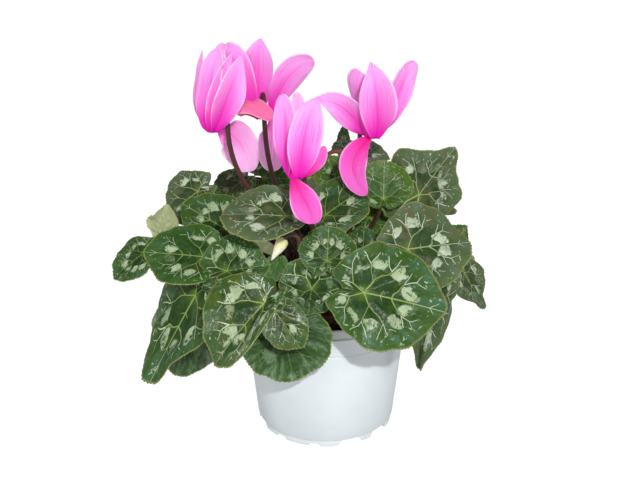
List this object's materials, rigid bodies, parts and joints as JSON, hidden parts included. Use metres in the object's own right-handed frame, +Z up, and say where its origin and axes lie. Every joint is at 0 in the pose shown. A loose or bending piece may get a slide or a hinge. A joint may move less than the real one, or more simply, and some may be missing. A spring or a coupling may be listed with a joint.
{
  "type": "potted cyclamen",
  "caption": "Flowering cyclamen in a round plastic growing pot: patterned heart-shaped leaves on stalks, swept-back pink blooms and buds above soil and tuber; stands on its pot.",
  "frame": {"origin": "middle of the pot's underside, on the surface that it stands on", "axes": "+Z up along the pot's axis, -Y towards the side that is seen first, +X to the right seen from there"},
  "size_m": [0.2603, 0.2267, 0.2813],
  "materials": {
    "pot": "satin",
    "soil": "matte",
    "tuber": "matte",
    "leaf": "satin",
    "petal": "satin",
    "stem": "satin",
    "bud": "satin"
  },
  "bodies": {
    "root": {"pot": "pot", "soil": "soil", "tuber": "tuber", "leaf_front_right": "leaf", "leaf_right_upper": "leaf", "leaf_right_crest": "leaf", "leaf_green_fan": "leaf", "leaf_crown_right": "leaf", "leaf_crown_front": "leaf", "leaf_heart_front": "leaf", "leaf_heart_right": "leaf", "leaf_inner_right": "leaf", "leaf_notched_front": "leaf", "leaf_gloss_left": "leaf", "leaf_gloss_lobe": "leaf", "leaf_pot_front": "leaf", "leaf_hanging_left": "leaf", "leaf_shade_left": "leaf", "leaf_bright_left": "leaf", "leaf_bent_left": "leaf", "leaf_dull_centre": "leaf", "leaf_crown_left": "leaf", "leaf_left_crest": "leaf", "leaf_pale_back": "leaf", "leaf_far_left": "leaf", "leaf_shade_crown": "leaf", "leaf_green_crown": "leaf", "leaf_back_tip": "leaf", "leaf_back_crest": "leaf", "leaf_far_right_tip": "leaf", "leaf_hanging_right": "leaf", "leaf_drooping_right": "leaf", "leaf_young_front": "leaf", "leaf_inner_left": "leaf", "leaf_back_low_1": "leaf", "leaf_back_low_2": "leaf", "leaf_back_low_3": "leaf", "leaf_back_low_4": "leaf", "leaf_back_low_5": "leaf", "leaf_back_high_1": "leaf", "leaf_back_high_2": "leaf", "leaf_back_high_3": "leaf", "leaf_back_high_4": "leaf", "leaf_back_crown_1": "leaf", "leaf_back_crown_2": "leaf", "petals_left": "petal", "petals_centre_back": "petal", "petals_front": "petal", "petals_right": "petal", "stem_left": "stem", "stem_centre_back": "stem", "stem_front": "stem", "stem_right": "stem", "bud_pale": "bud", "bud_hidden": "bud", "stem_bud_pale": "stem", "stem_bud_hidden": "stem"}
  },
  "joints": []
}
